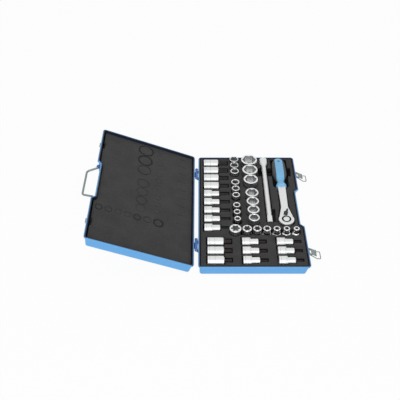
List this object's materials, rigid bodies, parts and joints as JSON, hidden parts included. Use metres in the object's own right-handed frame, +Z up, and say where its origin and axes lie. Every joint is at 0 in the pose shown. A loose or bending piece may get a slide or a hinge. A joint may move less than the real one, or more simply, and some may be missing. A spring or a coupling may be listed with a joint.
{
  "type": "socket wrench set in case",
  "caption": "Hinged sheet-metal case, lid tipped open, with toggle latches and a wire handle; a foam tray holds a ratchet, an extension, sockets and screwdriver sockets.",
  "frame": {"origin": "centre of the base's flat underside", "axes": "+X towards the latch side, away from the hinges; +Y towards the back, along the case; +Z up"},
  "size_m": [0.5693, 0.4118, 0.1227],
  "materials": {
    "blue_enamel": "semi-gloss enamel",
    "blue_hinge_paint": "semi-gloss enamel",
    "zinc_plate": "bright zinc",
    "black_foam": "matt closed-cell foam",
    "satin_chrome": "satin",
    "blackened_steel": "blackened",
    "black_plastic": "matt",
    "blue_grip": "satin",
    "grey_grip": "soft matt"
  },
  "bodies": {
    "base": {"base_shell": "blue_enamel", "base_hinge_leaves": "blue_hinge_paint", "pivot_pins": "zinc_plate", "latch_plates": "zinc_plate", "latch_rivets": "zinc_plate", "tray_foam": "black_foam"},
    "lid": {"lid_shell": "blue_enamel", "lid_hinge_leaves": "blue_hinge_paint", "latch_keepers": "zinc_plate", "handle_brackets": "blue_hinge_paint", "lid_foam": "black_foam"},
    "handle": {"carry_handle": "zinc_plate"},
    "rear_lever": {"rear_latch_lever": "zinc_plate"},
    "rear_loop": {"rear_latch_loop": "zinc_plate"},
    "front_lever": {"front_latch_lever": "zinc_plate"},
    "front_loop": {"front_latch_loop": "zinc_plate"},
    "ratchet": {"ratchet_body": "satin_chrome", "grip_core": "blue_grip", "grip_pads": "grey_grip", "cover_plate": "satin_chrome"},
    "drive": {"drive_gear": "blackened_steel"},
    "selector": {"reversing_lever": "black_plastic", "pawl": "blackened_steel"},
    "button": {"release_button": "satin_chrome"},
    "extension": {"extension_bar": "satin_chrome"},
    "small_sockets_10_to_12_mm_body": {"small_sockets_10_to_12_mm": "satin_chrome"},
    "small_sockets_13_to_15_mm_body": {"small_sockets_13_to_15_mm": "satin_chrome"},
    "small_sockets_16_to_18_mm_body": {"small_sockets_16_to_18_mm": "satin_chrome"},
    "large_socket_19_mm_body": {"large_socket_19_mm": "satin_chrome"},
    "large_socket_21_mm_body": {"large_socket_21_mm": "satin_chrome"},
    "large_socket_22_mm_body": {"large_socket_22_mm": "satin_chrome"},
    "large_socket_24_mm_body": {"large_socket_24_mm": "satin_chrome"},
    "large_socket_27_mm_body": {"large_socket_27_mm": "satin_chrome"},
    "large_socket_30_mm_body": {"large_socket_30_mm": "satin_chrome"},
    "large_socket_32_mm_body": {"large_socket_32_mm": "satin_chrome"},
    "star_socket_24_body": {"star_socket_24": "satin_chrome"},
    "star_socket_20_body": {"star_socket_20": "satin_chrome"},
    "star_socket_18_body": {"star_socket_18": "satin_chrome"},
    "star_socket_16_body": {"star_socket_16": "satin_chrome"},
    "star_socket_14_body": {"star_socket_14": "satin_chrome"},
    "star_socket_12_body": {"star_socket_12": "satin_chrome"},
    "star_socket_10_body": {"star_socket_10": "satin_chrome"},
    "hexagon_bit_4_mm_body": {"hexagon_bit_4_mm": "satin_chrome"},
    "hexagon_bit_5_mm_body": {"hexagon_bit_5_mm": "satin_chrome"},
    "hexagon_bit_6_mm_body": {"hexagon_bit_6_mm": "satin_chrome"},
    "hexagon_bit_7_mm_body": {"hexagon_bit_7_mm": "satin_chrome"},
    "hexagon_bit_8_mm_body": {"hexagon_bit_8_mm": "satin_chrome"},
    "hexagon_bit_9_mm_body": {"hexagon_bit_9_mm": "satin_chrome"},
    "hexagon_bit_10_mm_body": {"hexagon_bit_10_mm": "satin_chrome"},
    "hexagon_bit_12_mm_body": {"hexagon_bit_12_mm": "satin_chrome"},
    "hexagon_bit_14_mm_body": {"hexagon_bit_14_mm": "satin_chrome"},
    "star_bit_50_body": {"star_bit_50": "satin_chrome"},
    "star_bit_55_body": {"star_bit_55": "satin_chrome"},
    "star_bit_60_body": {"star_bit_60": "satin_chrome"},
    "star_bit_30_body": {"star_bit_30": "satin_chrome"},
    "star_bit_40_body": {"star_bit_40": "satin_chrome"},
    "star_bit_45_body": {"star_bit_45": "satin_chrome"},
    "star_bit_20_body": {"star_bit_20": "satin_chrome"},
    "star_bit_25_body": {"star_bit_25": "satin_chrome"},
    "star_bit_27_body": {"star_bit_27": "satin_chrome"}
  },
  "joints": [
    {"name": "lid_hinge", "type": "hinge", "parent": "base", "child": "lid", "pos_m": [-0.1345, 0, 0.0283], "axis": [0, -1, 0], "range_deg": [-158.9, 0], "deforming": ["lid_foam"]},
    {"name": "handle_swing", "type": "hinge", "parent": "lid", "child": "handle", "pos_m": [-0.37918, 0, 0.11114], "axis": [0, -1, 0], "range_deg": [-117.8, 62.2]},
    {"name": "rear_latch", "type": "hinge", "parent": "base", "child": "rear_lever", "pos_m": [0.13242, 0.1435, 0.01633], "axis": [0, -1, 0], "range_deg": [-80, 0]},
    {"name": "rear_loop_swing", "type": "hinge", "parent": "rear_lever", "child": "rear_loop", "pos_m": [0.13652, 0.1435, 0.01426], "axis": [0, 1, 0], "range_deg": [-202, 0]},
    {"name": "front_latch", "type": "hinge", "parent": "base", "child": "front_lever", "pos_m": [0.13242, -0.1435, 0.01633], "axis": [0, -1, 0], "range_deg": [-80, 0]},
    {"name": "front_loop_swing", "type": "hinge", "parent": "front_lever", "child": "front_loop", "pos_m": [0.13652, -0.1435, 0.01426], "axis": [0, 1, 0], "range_deg": [-202, 0]},
    {"name": "ratchet_lift", "type": "slide", "parent": "base", "child": "ratchet", "axis": [0, 0, 1], "range_m": [0, 0.06]},
    {"name": "drive_turn", "type": "hinge", "parent": "ratchet", "child": "drive", "pos_m": [0.0868, -0.04795, 0.0331], "axis": [0, 0, 1], "continuous": true},
    {"name": "reversing_lever_turn", "type": "hinge", "parent": "ratchet", "child": "selector", "pos_m": [0.0868, -0.02835, 0.0331], "axis": [0, 0, 1], "range_deg": [0, 44]},
    {"name": "release_button_push", "type": "slide", "parent": "drive", "child": "button", "axis": [0, 0, -1], "range_m": [0, 0.002], "stiffness_N_per_m": 400, "springref_m": -0.001},
    {"name": "extension_lift", "type": "slide", "parent": "base", "child": "extension", "axis": [0, 0, 1], "range_m": [0, 0.06]},
    {"name": "small_sockets_10_to_12_mm_lift", "type": "slide", "parent": "base", "child": "small_sockets_10_to_12_mm_body", "axis": [0, 0, 1], "range_m": [0, 0.06]},
    {"name": "small_sockets_13_to_15_mm_lift", "type": "slide", "parent": "base", "child": "small_sockets_13_to_15_mm_body", "axis": [0, 0, 1], "range_m": [0, 0.06]},
    {"name": "small_sockets_16_to_18_mm_lift", "type": "slide", "parent": "base", "child": "small_sockets_16_to_18_mm_body", "axis": [0, 0, 1], "range_m": [0, 0.06]},
    {"name": "large_socket_19_mm_lift", "type": "slide", "parent": "base", "child": "large_socket_19_mm_body", "axis": [0, 0, 1], "range_m": [0, 0.06]},
    {"name": "large_socket_21_mm_lift", "type": "slide", "parent": "base", "child": "large_socket_21_mm_body", "axis": [0, 0, 1], "range_m": [0, 0.06]},
    {"name": "large_socket_22_mm_lift", "type": "slide", "parent": "base", "child": "large_socket_22_mm_body", "axis": [0, 0, 1], "range_m": [0, 0.06]},
    {"name": "large_socket_24_mm_lift", "type": "slide", "parent": "base", "child": "large_socket_24_mm_body", "axis": [0, 0, 1], "range_m": [0, 0.06]},
    {"name": "large_socket_27_mm_lift", "type": "slide", "parent": "base", "child": "large_socket_27_mm_body", "axis": [0, 0, 1], "range_m": [0, 0.06]},
    {"name": "large_socket_30_mm_lift", "type": "slide", "parent": "base", "child": "large_socket_30_mm_body", "axis": [0, 0, 1], "range_m": [0, 0.06]},
    {"name": "large_socket_32_mm_lift", "type": "slide", "parent": "base", "child": "large_socket_32_mm_body", "axis": [0, 0, 1], "range_m": [0, 0.06]},
    {"name": "star_socket_24_lift", "type": "slide", "parent": "base", "child": "star_socket_24_body", "axis": [0, 0, 1], "range_m": [0, 0.06]},
    {"name": "star_socket_20_lift", "type": "slide", "parent": "base", "child": "star_socket_20_body", "axis": [0, 0, 1], "range_m": [0, 0.06]},
    {"name": "star_socket_18_lift", "type": "slide", "parent": "base", "child": "star_socket_18_body", "axis": [0, 0, 1], "range_m": [0, 0.06]},
    {"name": "star_socket_16_lift", "type": "slide", "parent": "base", "child": "star_socket_16_body", "axis": [0, 0, 1], "range_m": [0, 0.06]},
    {"name": "star_socket_14_lift", "type": "slide", "parent": "base", "child": "star_socket_14_body", "axis": [0, 0, 1], "range_m": [0, 0.06]},
    {"name": "star_socket_12_lift", "type": "slide", "parent": "base", "child": "star_socket_12_body", "axis": [0, 0, 1], "range_m": [0, 0.06]},
    {"name": "star_socket_10_lift", "type": "slide", "parent": "base", "child": "star_socket_10_body", "axis": [0, 0, 1], "range_m": [0, 0.06]},
    {"name": "hexagon_bit_4_mm_lift", "type": "slide", "parent": "base", "child": "hexagon_bit_4_mm_body", "axis": [0, 0, 1], "range_m": [0, 0.06]},
    {"name": "hexagon_bit_5_mm_lift", "type": "slide", "parent": "base", "child": "hexagon_bit_5_mm_body", "axis": [0, 0, 1], "range_m": [0, 0.06]},
    {"name": "hexagon_bit_6_mm_lift", "type": "slide", "parent": "base", "child": "hexagon_bit_6_mm_body", "axis": [0, 0, 1], "range_m": [0, 0.06]},
    {"name": "hexagon_bit_7_mm_lift", "type": "slide", "parent": "base", "child": "hexagon_bit_7_mm_body", "axis": [0, 0, 1], "range_m": [0, 0.06]},
    {"name": "hexagon_bit_8_mm_lift", "type": "slide", "parent": "base", "child": "hexagon_bit_8_mm_body", "axis": [0, 0, 1], "range_m": [0, 0.06]},
    {"name": "hexagon_bit_9_mm_lift", "type": "slide", "parent": "base", "child": "hexagon_bit_9_mm_body", "axis": [0, 0, 1], "range_m": [0, 0.06]},
    {"name": "hexagon_bit_10_mm_lift", "type": "slide", "parent": "base", "child": "hexagon_bit_10_mm_body", "axis": [0, 0, 1], "range_m": [0, 0.06]},
    {"name": "hexagon_bit_12_mm_lift", "type": "slide", "parent": "base", "child": "hexagon_bit_12_mm_body", "axis": [0, 0, 1], "range_m": [0, 0.06]},
    {"name": "hexagon_bit_14_mm_lift", "type": "slide", "parent": "base", "child": "hexagon_bit_14_mm_body", "axis": [0, 0, 1], "range_m": [0, 0.06]},
    {"name": "star_bit_50_lift", "type": "slide", "parent": "base", "child": "star_bit_50_body", "axis": [0, 0, 1], "range_m": [0, 0.06]},
    {"name": "star_bit_55_lift", "type": "slide", "parent": "base", "child": "star_bit_55_body", "axis": [0, 0, 1], "range_m": [0, 0.06]},
    {"name": "star_bit_60_lift", "type": "slide", "parent": "base", "child": "star_bit_60_body", "axis": [0, 0, 1], "range_m": [0, 0.06]},
    {"name": "star_bit_30_lift", "type": "slide", "parent": "base", "child": "star_bit_30_body", "axis": [0, 0, 1], "range_m": [0, 0.06]},
    {"name": "star_bit_40_lift", "type": "slide", "parent": "base", "child": "star_bit_40_body", "axis": [0, 0, 1], "range_m": [0, 0.06]},
    {"name": "star_bit_45_lift", "type": "slide", "parent": "base", "child": "star_bit_45_body", "axis": [0, 0, 1], "range_m": [0, 0.06]},
    {"name": "star_bit_20_lift", "type": "slide", "parent": "base", "child": "star_bit_20_body", "axis": [0, 0, 1], "range_m": [0, 0.06]},
    {"name": "star_bit_25_lift", "type": "slide", "parent": "base", "child": "star_bit_25_body", "axis": [0, 0, 1], "range_m": [0, 0.06]},
    {"name": "star_bit_27_lift", "type": "slide", "parent": "base", "child": "star_bit_27_body", "axis": [0, 0, 1], "range_m": [0, 0.06]}
  ],
  "couplings": [
    {"joint": "rear_loop_swing", "follows": "rear_latch", "ratio": 2.525},
    {"joint": "front_loop_swing", "follows": "front_latch", "ratio": 2.525}
  ]
}
